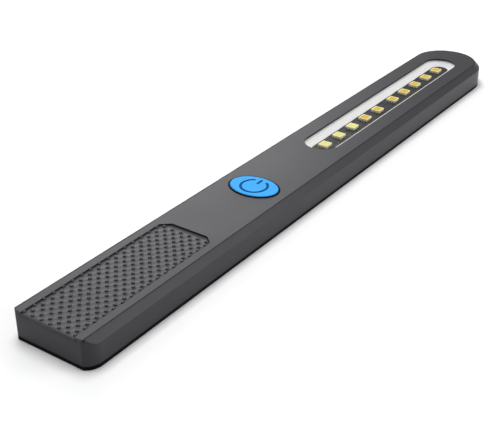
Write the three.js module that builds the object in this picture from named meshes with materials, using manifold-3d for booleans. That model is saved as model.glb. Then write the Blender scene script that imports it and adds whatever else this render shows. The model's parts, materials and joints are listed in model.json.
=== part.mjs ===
// Slim rechargeable inspection work light, in millimetres.
// Frame: origin at the centre of the bounding box's bottom face, +X along the
// bar towards the lamp head, +Y across it, +Z up through the light face.
import * as THREE from 'three';
import { mergeVertices } from 'three/addons/utils/BufferGeometryUtils.js';
import { ConvexGeometry } from 'three/addons/geometries/ConvexGeometry.js';
import Module from 'manifold-3d';

const wasm = await Module();
wasm.setup();

// ---------------------------------------------------------------- dimensions
const L = 300;            // overall length
const W = 34.5;           // overall width
const H = 11.6;           // housing height
const HW = W / 2;
const XN = -L / 2;        // near end face
const XF = L / 2 - HW;    // centre of the round far end
const CH = 2.2;           // upper edge chamfer, across
const CV = 2.8;           // upper edge chamfer, down
const TOP_HW = HW - CH - 0.05;   // half width of the top land
const TOP_XF = 132.1;     // centre of the top land's round end
const CORNER_R = 6.4;     // near end corner radius
const CORNER_X = -144.5;  // where the corner arc leaves the straight side
const BACK_T = 1.2;       // back cover plate
const SHELL_Z = 1.3;      // bottom of the shell wall
const WALL = 2.0;         // shell side wall
const LEDGE_Z0 = 9.5;     // ledge that carries the front cover
const LEDGE_Z1 = 10.66;
const LEDGE_HW = 13.2;
const COVER_Z = 10.68;    // underside of the front cover
const SEAM = 0.3;         // groove between the front cover and the shell
const GRIP_X1 = -78.7;    // far end of the grip recess
const GRIP_HW = 11.6;     // half width of the grip recess
const GRIP_CX = 3.1;      // recess corner chamfer along X
const GRIP_CY = 3.5;      // recess corner chamfer along Y
const PAD_Z0 = 10.45;     // grip insert
const PAD_Z1 = 11.02;
const LIP_Z = 9.98;       // underside of the cover's lip at the open end of the recess
const BTN_X = -38.05;     // power button centre
const BTN_A = 7.55;       // half length along X
const BTN_B = 10.25;      // half length along Y
const BTN_TOP = 12.12;    // crown of the button
const HOLE_A = 8.07;      // button hole in the front cover
const HOLE_B = 10.77;
const FLANGE_Z0 = 9.75;   // button flange, under the cover
const FLANGE_Z1 = 10.35;
const COLLAR_Z = 12.0;    // crest of the rubber collar round the button
const WIN_X0 = 5.2;       // lamp window
const WIN_X1 = 133.4;
const WIN_HW = 7.7;
const FLOOR_X0 = 7.87;    // opening in the foot of the reflector
const FLOOR_X1 = 129.57;
const FLOOR_HW = 3.93;
const RIM = 0.08;         // the reflector's rim stands this far inside the window
const LENS_Z0 = 10.06;
const LENS_Z1 = 10.56;
const BOARD_Z0 = 7.7;
const BOARD_Z1 = 8.7;
const LED_X = [15.1, 26.6, 38.15, 49.65, 61.2, 76.05, 87.5, 98.95, 110.4, 121.85];
const LED_LX = 4.6;
const LED_LY = 4.4;
const LED_T = 1.25;
const MAGNET_X = [-8, 108];
const MAGNET_R = 7.5;
const PORT_X = -22;       // charging port on the +Y side
const PORT_Z = 5.0;
const FLAP_LX = 15;
const FLAP_Z0 = 2.1;
const FLAP_Z1 = 8.1;
const BOSS_Z0 = 3.0;      // screw bosses
const BOSS_Z1 = 6.8;
const SCREWS = [[-143.4, 10.6], [-143.4, -10.6], [-66.5, 12.0], [-66.5, -12.0],
  [45, 12.0], [45, -12.0], [141.4, 0]];

// ------------------------------------------------------------------- helpers
function solid(geometry) {
  const g = geometry.clone();
  g.deleteAttribute('normal');
  g.deleteAttribute('uv');
  const m = mergeVertices(g.index ? g.toNonIndexed() : g, 1e-4);
  return new wasm.Manifold(new wasm.Mesh({
    numProp: 3,
    vertProperties: new Float32Array(m.attributes.position.array),
    triVerts: new Uint32Array(m.index.array),
  }));
}
function geometryOf(m) {
  const mesh = m.getMesh();
  const g = new THREE.BufferGeometry();
  g.setAttribute('position', new THREE.BufferAttribute(new Float32Array(mesh.vertProperties), 3));
  g.setIndex(new THREE.BufferAttribute(new Uint32Array(mesh.triVerts), 1));
  g.computeVertexNormals();
  return g;
}
const shapeOf = (pts) => new THREE.Shape(pts.map(([x, y]) => new THREE.Vector2(x, y)));

// A bar outline: square near end at xn, round far end centred on xf.
function barPts(hw, xn, xf, n = 28) {
  const pts = [[xn, hw], [xn, -hw]];
  for (let i = 0; i <= n; i++) {
    const a = -Math.PI / 2 + Math.PI * i / n;
    pts.push([xf + hw * Math.cos(a), hw * Math.sin(a)]);
  }
  return pts;
}
// The same with the near corners rounded to a crease at the end face.
function casePts(inset = 0, n = 28) {
  const hw = HW - inset, r = CORNER_R - inset, cy = HW - CORNER_R;
  const xn = XN + inset;
  const a0 = Math.acos((CORNER_X - xn) / r);
  const pts = [];
  const k = 8;
  for (let i = 0; i <= k; i++) {
    const a = Math.PI / 2 + (Math.PI / 2 - a0) * i / k;
    pts.push([CORNER_X + r * Math.cos(a), cy + r * Math.sin(a)]);
  }
  for (let i = k; i >= 0; i--) {
    const a = Math.PI / 2 + (Math.PI / 2 - a0) * i / k;
    pts.push([CORNER_X + r * Math.cos(a), -cy - r * Math.sin(a)]);
  }
  for (let i = 0; i <= n; i++) {
    const a = -Math.PI / 2 + Math.PI * i / n;
    pts.push([XF + hw * Math.cos(a), hw * Math.sin(a)]);
  }
  return pts;
}
// A stadium between x0 and x1.
function stadiumPts(hw, x0, x1, n = 14) {
  const pts = [];
  for (let i = 0; i <= n; i++) {
    const a = -Math.PI / 2 + Math.PI * i / n;
    pts.push([x1 - hw + hw * Math.cos(a), hw * Math.sin(a)]);
  }
  for (let i = 0; i <= n; i++) {
    const a = Math.PI / 2 + Math.PI * i / n;
    pts.push([x0 + hw + hw * Math.cos(a), hw * Math.sin(a)]);
  }
  return pts;
}
function ovalPts(a, b, cx = 0, cy = 0, n = 40) {
  const pts = [];
  for (let i = 0; i < n; i++) {
    const t = 2 * Math.PI * i / n;
    pts.push([cx + a * Math.cos(t), cy + b * Math.sin(t)]);
  }
  return pts;
}
function gripPts(hw, x0, x1) {
  return [[x0, -hw], [x1 - GRIP_CX, -hw], [x1, -hw + GRIP_CY],
    [x1, hw - GRIP_CY], [x1 - GRIP_CX, hw], [x0, hw]];
}
function prism(pts, z0, z1) {
  const g = new THREE.ExtrudeGeometry(shapeOf(pts), { depth: z1 - z0, bevelEnabled: false, steps: 1 });
  g.translate(0, 0, z0);
  return g;
}
const prismS = (pts, z0, z1) => solid(prism(pts, z0, z1));
function boxG(x0, x1, y0, y1, z0, z1) {
  const g = new THREE.BoxGeometry(x1 - x0, y1 - y0, z1 - z0);
  g.translate((x0 + x1) / 2, (y0 + y1) / 2, (z0 + z1) / 2);
  return g;
}
const boxS = (...a) => solid(boxG(...a));
// A rod along Z.
function rodG(r, x, y, z0, z1, n = 20) {
  const g = new THREE.CylinderGeometry(r, r, z1 - z0, n);
  g.rotateX(Math.PI / 2);
  g.translate(x, y, (z0 + z1) / 2);
  return g;
}
const rodS = (...a) => solid(rodG(...a));
// The convex solid between level rings of [x, y] points, given as [points, z].
function loft(...rings) {
  const v = [];
  for (const [pts, z] of rings) for (const [x, y] of pts) v.push(new THREE.Vector3(x, y, z));
  return new ConvexGeometry(v);
}
// A wire along a path.
function wire(points, r) {
  const curve = new THREE.CatmullRomCurve3(points.map((p) => new THREE.Vector3(...p)), false, 'centripetal');
  const section = shapeOf(ovalPts(r, r, 0, 0, 8));
  return new THREE.ExtrudeGeometry(section, { steps: 22, bevelEnabled: false, extrudePath: curve });
}

const light = new THREE.Group();
function add(name, geometry, colour, roughness, metalness = 0, extra = {}) {
  const material = new THREE.MeshStandardMaterial({ color: colour, roughness, metalness, ...extra });
  const mesh = new THREE.Mesh(geometry, material);
  mesh.name = name;
  light.add(mesh);
  return mesh;
}

const GREY = 0x3b3b3f, BLACK = 0x0b0b0c, BLUE = 0x3aa6f2, WHITE = 0xf2f2f2;

// ----------------------------------------------------------------- body shell
// Walls with a chamfered upper edge; the chamfer runs out through the near
// corners and follows the round far end.
{
  const full = barPts(HW, XN - 12, XF);
  const top = barPts(TOP_HW, XN - 12, TOP_XF);
  let s = solid(loft([full, SHELL_Z], [full, H - CV], [top, H]));
  s = s.intersect(prismS(casePts(0), SHELL_Z, H + 1));
  // main cavity, ledge opening and the rebate for the front cover
  s = s.subtract(prismS(casePts(WALL), SHELL_Z - 1, LEDGE_Z0));
  s = s.subtract(prismS(barPts(LEDGE_HW, XN + 3.2, 132.1), LEDGE_Z0 - 1, LEDGE_Z1 + 1));
  s = s.subtract(prismS(barPts(TOP_HW - 0.02, XN - 5, TOP_XF), LEDGE_Z1, H + 1));
  // step that takes the open end of the grip recess
  s = s.subtract(boxS(XN - 1, XN + 4, -GRIP_HW - 0.52, GRIP_HW + 0.52, LIP_Z - 0.02, H + 1));
  // screw bosses, joined to the walls
  for (const [x, y] of SCREWS) {
    let b = rodS(2.7, x, y, BOSS_Z0, BOSS_Z1, 20);
    if (Math.abs(y) > 1) {
      b = b.add(boxS(x - 2.0, x + 2.0, y > 0 ? y : -16, y > 0 ? 16 : y, BOSS_Z0, BOSS_Z1));
      if (x < -100) b = b.add(boxS(-148.6, x, y - 2.0, y + 2.0, BOSS_Z0, BOSS_Z1));
    } else {
      b = b.add(boxS(x, 148.6, y - 2.2, y + 2.2, BOSS_Z0, BOSS_Z1));
    }
    s = s.add(b);
  }
  for (const [x, y] of SCREWS) s = s.subtract(rodS(1.35, x, y, 2.5, BOSS_Z1 + 1, 16));
  // charging port window and the pocket for its flap, on the +Y side
  s = s.subtract(boxS(PORT_X - FLAP_LX / 2 - 0.3, PORT_X + FLAP_LX / 2 + 0.3, HW - 1.0, HW + 2, FLAP_Z0 - 0.35, FLAP_Z1 + 0.3));
  s = s.subtract(boxS(PORT_X - 4.9, PORT_X + 4.9, HW - 4, HW + 2, 3.0, 7.0));
  add('body_shell', geometryOf(s), GREY, 0.62);
}

// ---------------------------------------------------------------- front cover
// Flush panel with the grip recess, the button hole and the lamp window.
{
  const hw = TOP_HW - SEAM;
  let s = prismS(barPts(hw, XN, TOP_XF - 0.1), COVER_Z, H).intersect(prismS(casePts(0), COVER_Z - 1, H + 1));
  // deeper section under the grip recess
  s = s.add(boxS(XN + 3.6, GRIP_X1 + 1.6, -12.8, 12.8, PAD_Z0 - 0.85, COVER_Z + 0.2));
  s = s.subtract(prismS(gripPts(GRIP_HW, XN - 2, GRIP_X1), PAD_Z0 - 0.02, H + 1));
  s = s.add(boxS(XN, XN + 3.7, -GRIP_HW - 0.5, GRIP_HW + 0.5, LIP_Z, PAD_Z0 - 0.02));
  // button hole and lamp window
  s = s.subtract(prismS(ovalPts(HOLE_A, HOLE_B, BTN_X, 0, 44), COVER_Z - 1, H + 1));
  s = s.subtract(prismS(stadiumPts(WIN_HW, WIN_X0, WIN_X1), COVER_Z - 1, H + 1));
  // snap tabs that reach down inside the ledge
  for (const x of [-52, -14, 22, 88]) {
    for (const sgn of [-1, 1]) {
      const y0 = sgn > 0 ? 11.9 : -12.8;
      s = s.add(boxS(x - 3, x + 3, y0, y0 + 0.9, 8.9, COVER_Z + 0.2));
    }
  }
  add('front_cover', geometryOf(s), GREY, 0.62);
}

// ------------------------------------------------------------------ grip pad
add('grip_pad', prism(gripPts(GRIP_HW - 0.08, XN, GRIP_X1 - 0.08), PAD_Z0, PAD_Z1), 0x343438, 0.8);

// ----------------------------------------------------------------- back cover
{
  let s = prismS(casePts(0), 0, BACK_T);
  // locating rim inside the shell
  const rimO = prismS(casePts(WALL + 0.25), BACK_T - 0.3, BACK_T + 1.3);
  const rimI = prismS(casePts(WALL + 1.35), BACK_T - 1, BACK_T + 3);
  let rim = rimO.subtract(rimI);
  for (const [x, y] of SCREWS) rim = rim.subtract(boxS(x - 3.2, x + 3.2, y - 6, y + 6, BACK_T, BACK_T + 3));
  s = s.add(rim);
  // magnet cups
  for (const x of MAGNET_X) {
    s = s.add(rodS(MAGNET_R + 1.1, x, 0, BACK_T - 0.2, BACK_T + 1.9, 32));
    s = s.subtract(rodS(MAGNET_R + 0.15, x, 0, 0.6, BACK_T + 3, 32));
  }
  // screw pillars with countersinks
  for (const [x, y] of SCREWS) s = s.add(rodS(2.7, x, y, BACK_T - 0.2, 2.9, 20));
  for (const [x, y] of SCREWS) {
    s = s.subtract(rodS(1.25, x, y, -1, 4, 16));
    s = s.subtract(rodS(2.35, x, y, -1, 1.5, 20));
  }
  add('back_cover', geometryOf(s), BLACK, 0.55);
}

// ------------------------------------------------------------------ fasteners
SCREWS.forEach(([x, y], i) => {
  let s = rodS(2.15, x, y, 0.15, 1.4, 20).add(rodS(1.0, x, y, 1.3, 6.5, 12));
  for (let k = 0; k < 2; k++) {
    const slot = new THREE.BoxGeometry(2.4, 0.6, 1.4);
    slot.rotateZ(k * Math.PI / 2);
    slot.translate(x, y, 0);
    s = s.subtract(solid(slot));
  }
  add(`back_screw_${i + 1}`, geometryOf(s), 0x8f9296, 0.35, 0.9);
});

// --------------------------------------------------------------------- magnets
MAGNET_X.forEach((x, i) => {
  const g = new THREE.LatheGeometry([[0, 0.7], [MAGNET_R - 0.25, 0.7], [MAGNET_R, 0.95], [MAGNET_R, 2.65],
    [MAGNET_R - 0.25, 2.9], [0, 2.9]].map(([a, b]) => new THREE.Vector2(a, b)), 32);
  g.rotateX(Math.PI / 2);
  g.translate(x, 0, 0);
  add(i === 0 ? 'magnet_near' : 'magnet_far', g, 0xb9bcc0, 0.25, 1);
});

// ------------------------------------------------------------- power button
{
  // crowned cap on a hollow skirt, with a flange under the cover that stops it
  // lifting out and a post that works the switch
  const cap = loft(
    [ovalPts(BTN_A, BTN_B, BTN_X), FLANGE_Z0],
    [ovalPts(BTN_A, BTN_B, BTN_X), BTN_TOP - 0.32],
    [ovalPts(BTN_A - 0.12, BTN_B - 0.12, BTN_X), BTN_TOP - 0.14],
    [ovalPts(BTN_A - 0.45, BTN_B - 0.45, BTN_X), BTN_TOP]);
  let s = solid(cap).add(prismS(ovalPts(BTN_A + 1.9, BTN_B + 1.9, BTN_X), FLANGE_Z0, FLANGE_Z1));
  s = s.subtract(prismS(ovalPts(BTN_A - 1.6, BTN_B - 1.6, BTN_X), FLANGE_Z0 - 1, 11.2));
  s = s.add(boxS(BTN_X - 1.8, BTN_X + 1.8, -1.8, 1.8, 9.9, 11.4));
  // engraved power mark: an arc open towards the lamp and a short bar
  const arc = [];
  const half = 0.4, r = 5.3, n = 30, gap = 35 * Math.PI / 180;
  for (let i = 0; i <= n; i++) {
    const a = gap + (2 * Math.PI - 2 * gap) * i / n;
    arc.push([BTN_X + (r + half) * Math.cos(a), (r + half) * Math.sin(a)]);
  }
  for (let i = n; i >= 0; i--) {
    const a = gap + (2 * Math.PI - 2 * gap) * i / n;
    arc.push([BTN_X + (r - half) * Math.cos(a), (r - half) * Math.sin(a)]);
  }
  s = s.subtract(prismS(arc, BTN_TOP - 0.25, BTN_TOP + 1));
  s = s.subtract(boxS(BTN_X + 2.1, BTN_X + 5.6, -half, half, BTN_TOP - 0.25, BTN_TOP + 1));
  add('power_button', geometryOf(s), BLUE, 0.4);
}
// rubber collar that hugs the button, standing proud of the cover and hooked
// under the edge of its hole
{
  let s = solid(loft(
    [ovalPts(HOLE_A - 0.08, HOLE_B - 0.08, BTN_X, 0, 44), 10.42],
    [ovalPts(HOLE_A - 0.08, HOLE_B - 0.08, BTN_X, 0, 44), COLLAR_Z - 0.12],
    [ovalPts(HOLE_A - 0.18, HOLE_B - 0.18, BTN_X, 0, 44), COLLAR_Z]));
  s = s.add(prismS(ovalPts(HOLE_A + 0.75, HOLE_B + 0.75, BTN_X, 0, 44), 10.42, COVER_Z - 0.06));
  s = s.subtract(prismS(ovalPts(BTN_A + 0.14, BTN_B + 0.14, BTN_X, 0, 44), 9, 13));
  add('button_seal', geometryOf(s), BLACK, 0.7);
}

// ------------------------------------------------- switch and control board
add('control_board', geometryOf(
  boxS(-64, -3, -10.2, 10.2, 4.4, 5.4).add(boxS(-58, -4, -12.4, 12.4, 4.4, 5.4))
    .subtract(boxS(-58.5, -50, 10.6, 13, 4, 6))), 0x1d5b34, 0.5);
add('switch_body', geometryOf(
  boxS(BTN_X - 3.1, BTN_X + 3.1, -3.1, 3.1, 5.5, 8.3)
    .subtract(rodS(1.85, BTN_X, 0, 7.15, 9, 20))), 0x1a1a1c, 0.45);
add('switch_stem', rodG(1.6, BTN_X, 0, 7.75, 9.6, 20), 0xd9d2c0, 0.5);
add('driver_chip', boxG(-21, -14.5, -8, -3, 5.5, 6.9), 0x161618, 0.4);
add('charge_chip', boxG(-33, -28.2, 4.4, 9.2, 5.5, 6.6), 0x161618, 0.4);
add('power_inductor', geometryOf(
  boxS(-13, -6, -2.5, 4.5, 5.5, 5.9).add(rodS(3.2, -9.5, 1, 5.8, 8.2, 20))), 0x3a3a3e, 0.5);
// charging socket: a drawn metal shell with a tongue inside
{
  const rounded = (hx, hz, r) => {
    const pts = [];
    for (const [cx, cz, a0] of [[hx - r, -hz + r, -90], [hx - r, hz - r, 0], [-hx + r, hz - r, 90], [-hx + r, -hz + r, 180]])
      for (let i = 0; i <= 6; i++) {
        const a = (a0 + 15 * i) * Math.PI / 180;
        pts.push([PORT_X + cx + r * Math.cos(a), PORT_Z + cz + r * Math.sin(a)]);
      }
    return pts;
  };
  const along = (pts, y0, y1) => {
    const g = new THREE.ExtrudeGeometry(shapeOf(pts), { depth: y1 - y0, bevelEnabled: false, steps: 1 });
    g.rotateX(Math.PI / 2);
    g.translate(0, y1, 0);
    return solid(g);
  };
  let s = along(rounded(4.47, 1.6, 1.55), 12.7, HW - 1.35);
  s = s.add(boxS(PORT_X - 3.6, PORT_X + 3.6, 8.6, 12.75, 5.5, 6.45));
  s = s.subtract(along(rounded(4.15, 1.28, 1.23), 13.0, HW));
  s = s.add(boxS(PORT_X - 3.3, PORT_X + 3.3, 12.9, HW - 1.9, PORT_Z - 0.35, PORT_Z + 0.35));
  add('usb_port', geometryOf(s), 0xb4b7bb, 0.3, 0.9);
}
// rubber flap over the port, hinged along its lower edge
{
  let s = boxS(PORT_X - FLAP_LX / 2, PORT_X + FLAP_LX / 2, HW - 0.95, HW - 0.05, FLAP_Z0, FLAP_Z1);
  s = s.subtract(boxS(PORT_X - FLAP_LX, PORT_X + FLAP_LX, HW - 0.4, HW + 1, FLAP_Z0 + 0.5, FLAP_Z0 + 0.9));
  s = s.add(boxS(PORT_X - 3.4, PORT_X + 3.4, HW - 1.25, HW - 0.9, 5.45, 6.0));
  s = s.add(boxS(PORT_X - 2, PORT_X + 2, HW - 0.1, HW + 0.0, FLAP_Z1 - 0.9, FLAP_Z1 - 0.3));
  add('port_cover', geometryOf(s), 0x151517, 0.8);
}

// ------------------------------------------------------------------- battery
{
  const r = 2.6, z0 = 1.75, z1 = 8.1, hy = 11.6;
  const sec = [];
  for (let i = 0; i <= 6; i++) { const a = -Math.PI / 2 + Math.PI / 2 * i / 6; sec.push([hy - r + r * Math.cos(a), z0 + r + r * Math.sin(a)]); }
  for (let i = 0; i <= 6; i++) { const a = Math.PI / 2 * i / 6; sec.push([hy - r + r * Math.cos(a), z1 - r + r * Math.sin(a)]); }
  for (let i = 0; i <= 6; i++) { const a = Math.PI / 2 + Math.PI / 2 * i / 6; sec.push([-hy + r + r * Math.cos(a), z1 - r + r * Math.sin(a)]); }
  for (let i = 0; i <= 6; i++) { const a = Math.PI + Math.PI / 2 * i / 6; sec.push([-hy + r + r * Math.cos(a), z0 + r + r * Math.sin(a)]); }
  const g = new THREE.ExtrudeGeometry(shapeOf(sec), { depth: 62, bevelEnabled: false, steps: 1 });
  g.rotateX(Math.PI / 2);
  g.rotateZ(Math.PI / 2);
  g.translate(-140, 0, 0);
  add('battery_cell', g, 0xb7bbc2, 0.35, 0.6);
}
add('battery_board', boxG(-77.4, -72.6, -9.5, 9.5, 3.6, 4.6), 0x1d5b34, 0.5);
add('battery_pad', boxG(-136, -82, -9, 9, 8.25, 9.4), 0x4a4a4d, 0.95);

// ----------------------------------------------------------------- lamp head
add('heat_spreader', prism(stadiumPts(10.4, 3.6, 136.6, 12), 6.95, 7.6), 0xc2c5c8, 0.4, 0.9);
add('led_board', prism(stadiumPts(9.6, 4.4, 135.8, 12), BOARD_Z0, BOARD_Z1), 0x101014, 0.45);
{
  // white tray: a rim round the window, a narrow seat for the lens, then a bevel
  // down to the opening over the board
  let s = prismS(stadiumPts(9.5, 3.4, 135.2), BOARD_Z1 + 0.06, COVER_Z - 0.06);
  s = s.subtract(prismS(stadiumPts(WIN_HW - RIM, WIN_X0 + RIM, WIN_X1 - RIM), LENS_Z0 - 0.03, 12));
  s = s.subtract(prismS(stadiumPts(FLOOR_HW, FLOOR_X0, FLOOR_X1), BOARD_Z1 - 0.4, 8.9));
  const seat = stadiumPts(WIN_HW - RIM - 0.35, WIN_X0 + RIM + 0.35, WIN_X1 - RIM - 0.35);
  s = s.subtract(solid(loft([stadiumPts(FLOOR_HW, FLOOR_X0, FLOOR_X1), 8.82], [seat, LENS_Z0 - 0.01], [seat, LENS_Z0 + 0.4])));
  add('reflector', geometryOf(s), WHITE, 0.35);
}
add('led_lens', prism(stadiumPts(WIN_HW - RIM - 0.1, WIN_X0 + RIM + 0.1, WIN_X1 - RIM - 0.1), LENS_Z0, LENS_Z1),
  0xffffff, 0.05, 0, { transparent: true, opacity: 0.15 });
LED_X.forEach((x, i) => {
  // stepped package: a plinth with a slightly smaller raised emitter face
  let s = boxS(x - LED_LX / 2, x + LED_LX / 2, -LED_LY / 2, LED_LY / 2, BOARD_Z1 + 0.03, BOARD_Z1 + LED_T - 0.1);
  s = s.add(boxS(x - LED_LX / 2 + 0.35, x + LED_LX / 2 - 0.35, -LED_LY / 2 + 0.35, LED_LY / 2 - 0.35, BOARD_Z1 + LED_T - 0.2, BOARD_Z1 + LED_T));
  add(`led_${String(i + 1).padStart(2, '0')}`, geometryOf(s), 0xf2dc8a, 0.4);
});

// -------------------------------------------------------------------- wiring
add('battery_lead_pos', wire([[-72.3, 3, 4.1], [-70.2, 3.4, 4.2], [-68, 4.4, 4.6], [-66, 4.6, 4.9], [-64.3, 4.6, 4.9]], 0.5), 0xc02020, 0.5);
add('battery_lead_neg', wire([[-72.3, -3, 4.1], [-70.2, -3.4, 4.2], [-68, -4.4, 4.6], [-66, -4.6, 4.9], [-64.3, -4.6, 4.9]], 0.5), 0x18181a, 0.5);
add('led_lead_pos', wire([[-2.7, 7.4, 4.9], [-0.6, 7.5, 5.1], [0.8, 7.2, 6.2], [1.8, 6.4, 7.6], [3.2, 5.4, 8.15], [5.2, 4.5, 8.2]], 0.42), 0xc02020, 0.5);
add('led_lead_neg', wire([[-2.7, -7.4, 4.9], [-0.6, -7.5, 5.1], [0.8, -7.2, 6.2], [1.8, -6.4, 7.6], [3.2, -5.4, 8.15], [5.2, -4.5, 8.2]], 0.42), 0x18181a, 0.5);

export default light;
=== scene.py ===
import json
import math

import bmesh
import bpy
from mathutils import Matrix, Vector
from mathutils.geometry import delaunay_2d_cdt

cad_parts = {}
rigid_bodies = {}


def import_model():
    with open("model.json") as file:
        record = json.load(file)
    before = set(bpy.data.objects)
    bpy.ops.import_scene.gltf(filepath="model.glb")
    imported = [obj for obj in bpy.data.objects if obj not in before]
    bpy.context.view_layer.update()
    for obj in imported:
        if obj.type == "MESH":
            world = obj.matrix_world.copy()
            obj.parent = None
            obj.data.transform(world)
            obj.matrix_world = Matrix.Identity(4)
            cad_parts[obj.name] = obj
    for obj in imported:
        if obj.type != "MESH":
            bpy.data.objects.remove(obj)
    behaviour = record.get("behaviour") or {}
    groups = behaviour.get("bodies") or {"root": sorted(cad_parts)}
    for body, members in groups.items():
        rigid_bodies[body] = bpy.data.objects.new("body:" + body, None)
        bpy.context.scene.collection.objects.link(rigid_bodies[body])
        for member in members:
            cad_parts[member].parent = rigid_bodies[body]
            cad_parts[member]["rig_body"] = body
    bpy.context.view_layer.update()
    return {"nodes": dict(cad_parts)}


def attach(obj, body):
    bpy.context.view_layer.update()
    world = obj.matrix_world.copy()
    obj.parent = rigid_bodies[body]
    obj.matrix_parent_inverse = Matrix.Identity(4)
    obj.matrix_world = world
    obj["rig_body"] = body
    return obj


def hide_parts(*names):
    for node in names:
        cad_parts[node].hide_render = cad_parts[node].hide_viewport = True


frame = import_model()
NODES = frame["nodes"]
MM = 0.001
scene = bpy.context.scene

# --------------------------------------------------------------- dimensions (mm)
TOP = 11.6
GRIP_X0, GRIP_X1, GRIP_HW = -150.0, -78.78, 11.52
GRIP_CX, GRIP_CY = 3.1, 3.5
PAD_Z0, PAD_Z1 = 10.45, 11.02
BTN_X, BTN_A, BTN_B, BTN_TOP = -38.05, 7.55, 10.25, 12.12
HOLE_A, HOLE_B = 8.07, 10.77
WIN_X0, WIN_X1, WIN_HW = 5.2, 133.4, 7.7
FLOOR_X0, FLOOR_X1, FLOOR_HW = 7.87, 129.57, 3.93
LED_X = [15.1, 26.6, 38.15, 49.65, 61.2, 76.05, 87.5, 98.95, 110.4, 121.85]
LED_HX, LED_HY = 2.3, 2.2
PORT_X, PORT_Z = -22.0, 5.0
BOARD_TOP = 8.7


# ------------------------------------------------------------------- materials
def lin(r, g, b):
    def f(c):
        c /= 255.0
        return c / 12.92 if c <= 0.04045 else ((c + 0.055) / 1.055) ** 2.4
    return (f(r), f(g), f(b), 1.0)


def scaled(c, k):
    return (min(1.0, c[0] * k), min(1.0, c[1] * k), min(1.0, c[2] * k), 1.0)


class Mat:
    """A node material with one Principled shader, in object coordinates (metres)."""

    def __init__(self, name, rough=0.5, metal=0.0, spec=0.5, **sockets):
        self.m = bpy.data.materials.new(name)
        self.m.use_nodes = True
        self.nt = self.m.node_tree
        self.nt.nodes.clear()
        self.out = self.nt.nodes.new("ShaderNodeOutputMaterial")
        self.b = self.nt.nodes.new("ShaderNodeBsdfPrincipled")
        self.nt.links.new(self.b.outputs[0], self.out.inputs[0])
        self.b.inputs["Roughness"].default_value = rough
        self.b.inputs["Metallic"].default_value = metal
        self.b.inputs["Specular IOR Level"].default_value = spec
        for k, v in sockets.items():
            self.b.inputs[k.replace("_", " ")].default_value = v
        self.co = self.nt.nodes.new("ShaderNodeTexCoord").outputs["Object"]

    def link(self, a, b):
        self.nt.links.new(a, b)

    def mapped(self, scale=(1, 1, 1), rot=(0, 0, 0)):
        n = self.nt.nodes.new("ShaderNodeMapping")
        n.inputs["Scale"].default_value = scale
        n.inputs["Rotation"].default_value = rot
        self.link(self.co, n.inputs["Vector"])
        return n.outputs["Vector"]

    def noise(self, size, detail=3.0, rough=0.55, vec=None):
        n = self.nt.nodes.new("ShaderNodeTexNoise")
        n.inputs["Scale"].default_value = 1.0 / (size * MM)
        n.inputs["Detail"].default_value = detail
        n.inputs["Roughness"].default_value = rough
        self.link(vec if vec is not None else self.co, n.inputs["Vector"])
        return n.outputs["Fac"]

    def cells(self, size, vec=None, feature="F1"):
        n = self.nt.nodes.new("ShaderNodeTexVoronoi")
        n.feature = feature
        n.inputs["Scale"].default_value = 1.0 / (size * MM)
        self.link(vec if vec is not None else self.co, n.inputs["Vector"])
        return n.outputs["Distance"]

    def waves(self, size, vec=None, distort=0.0, profile="SIN", direction="X"):
        n = self.nt.nodes.new("ShaderNodeTexWave")
        n.wave_type = "BANDS"
        n.bands_direction = direction
        n.wave_profile = profile
        n.inputs["Scale"].default_value = 1.0 / (size * MM) / 3.1416
        n.inputs["Distortion"].default_value = distort
        self.link(vec if vec is not None else self.co, n.inputs["Vector"])
        return n.outputs["Fac"]

    def remap(self, v, lo, hi, a=0.25, b=0.75, smooth=False):
        n = self.nt.nodes.new("ShaderNodeMapRange")
        n.interpolation_type = "SMOOTHSTEP" if smooth else "LINEAR"
        n.inputs["From Min"].default_value = a
        n.inputs["From Max"].default_value = b
        n.inputs["To Min"].default_value = lo
        n.inputs["To Max"].default_value = hi
        self.link(v, n.inputs["Value"])
        return n.outputs["Result"]

    def math(self, op, a, b):
        n = self.nt.nodes.new("ShaderNodeMath")
        n.operation = op
        for i, v in enumerate((a, b)):
            if hasattr(v, "is_output"):
                self.link(v, n.inputs[i])
            else:
                n.inputs[i].default_value = v
        return n.outputs[0]

    def mix(self, fac, a, b):
        n = self.nt.nodes.new("ShaderNodeMix")
        n.data_type = "RGBA"
        self.link(fac, n.inputs[0])
        for i, v in ((6, a), (7, b)):
            if hasattr(v, "is_output"):
                self.link(v, n.inputs[i])
            else:
                n.inputs[i].default_value = v
        return n.outputs[2]

    def colour(self, v):
        if hasattr(v, "is_output"):
            self.link(v, self.b.inputs["Base Color"])
        else:
            self.b.inputs["Base Color"].default_value = v

    def rough(self, v):
        self.link(v, self.b.inputs["Roughness"])

    def bump(self, height, depth, strength=1.0, after=None):
        n = self.nt.nodes.new("ShaderNodeBump")
        n.inputs["Distance"].default_value = depth * MM
        n.inputs["Strength"].default_value = strength
        self.link(height, n.inputs["Height"])
        if after is not None:
            self.link(after, n.inputs["Normal"])
        return n.outputs["Normal"]

    def normal(self, v):
        self.link(v, self.b.inputs["Normal"])

    def axis(self, which):
        n = self.nt.nodes.new("ShaderNodeSeparateXYZ")
        self.link(self.co, n.inputs[0])
        return n.outputs[which]


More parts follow.
